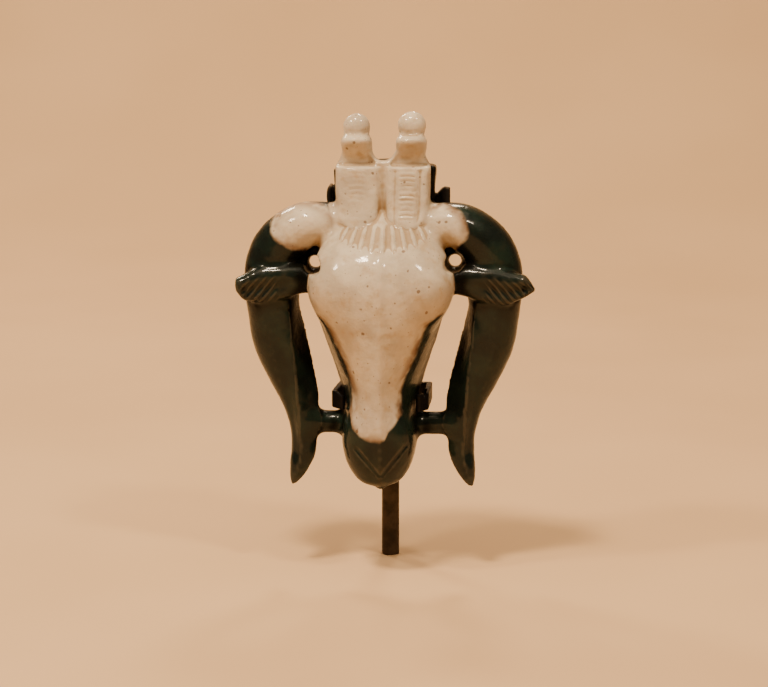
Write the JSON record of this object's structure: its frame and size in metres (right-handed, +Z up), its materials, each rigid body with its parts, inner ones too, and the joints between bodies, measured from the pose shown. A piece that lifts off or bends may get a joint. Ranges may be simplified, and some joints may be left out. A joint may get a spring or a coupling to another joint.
{
  "type": "ram head amulet on a rod mount",
  "caption": "Layered stone amulet of a ram's head with two cobras on its crown and curled horns, held upright by a thin metal rod.",
  "frame": {"origin": "middle of the rod's cut foot, at the level of the surface that the rod is set in", "axes": "+Z up along the rod, -Y towards the ram's face, +X towards the horn on the right of the picture"},
  "size_m": [0.0334, 0.0152, 0.0523],
  "materials": {
    "layered_stone": "polished",
    "mount_metal": "dark patina"
  },
  "bodies": {
    "root": {"ram_head_amulet": "layered_stone", "display_mount": "mount_metal"}
  },
  "joints": []
}
